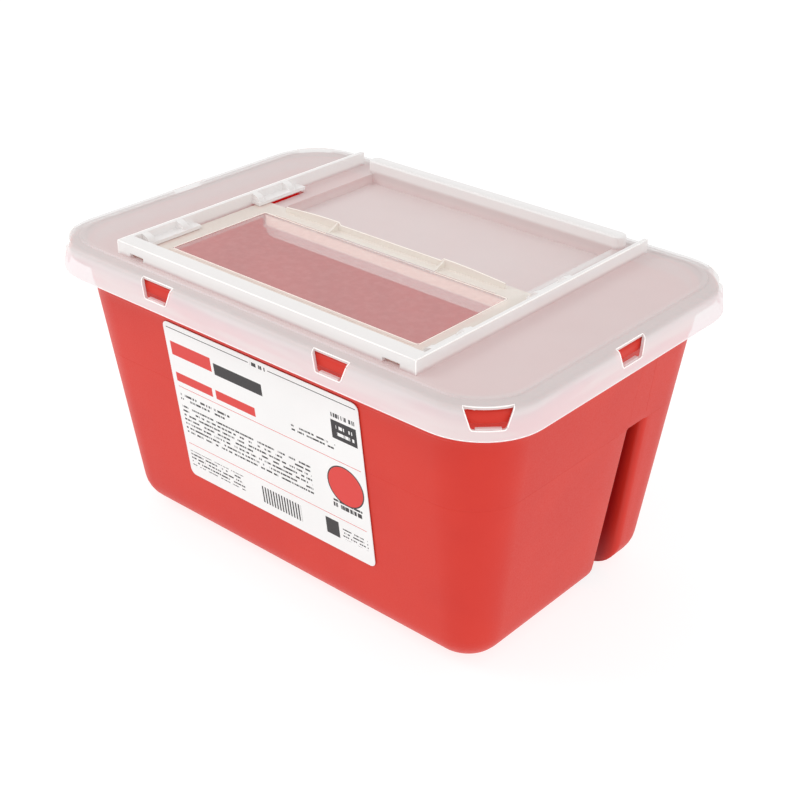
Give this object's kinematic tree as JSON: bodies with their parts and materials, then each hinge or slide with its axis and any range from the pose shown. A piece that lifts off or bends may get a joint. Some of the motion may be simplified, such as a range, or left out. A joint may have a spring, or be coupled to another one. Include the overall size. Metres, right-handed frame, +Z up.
{
  "type": "sharps container",
  "caption": "Rectangular laboratory sharps container with a see-through press-fit lid, a sliding cover over the drop opening and a plain front label.",
  "frame": {"origin": "middle of the footprint, on the surface that the container stands on", "axes": "+X along the long side towards the right end, -Y out of the labelled front, +Z up"},
  "size_m": [0.255, 0.1774, 0.1434],
  "materials": {
    "tub": "moulded, satin, slightly translucent red polypropylene",
    "lid": "natural polypropylene, translucent, satin",
    "sliding_cover": "natural polypropylene, translucent, satin",
    "front_label": null
  },
  "bodies": {
    "base": {"tub": "tub", "front_label": "front_label"},
    "lid": {"lid": "lid"},
    "cover": {"sliding_cover": "sliding_cover"}
  },
  "joints": [
    {"name": "lid_lift", "type": "slide", "parent": "base", "child": "lid", "axis": [0, 0, 1], "range_m": [0, 0.06]},
    {"name": "cover_slide", "type": "slide", "parent": "lid", "child": "cover", "axis": [0, 1, 0], "range_m": [0, 0.062]}
  ]
}
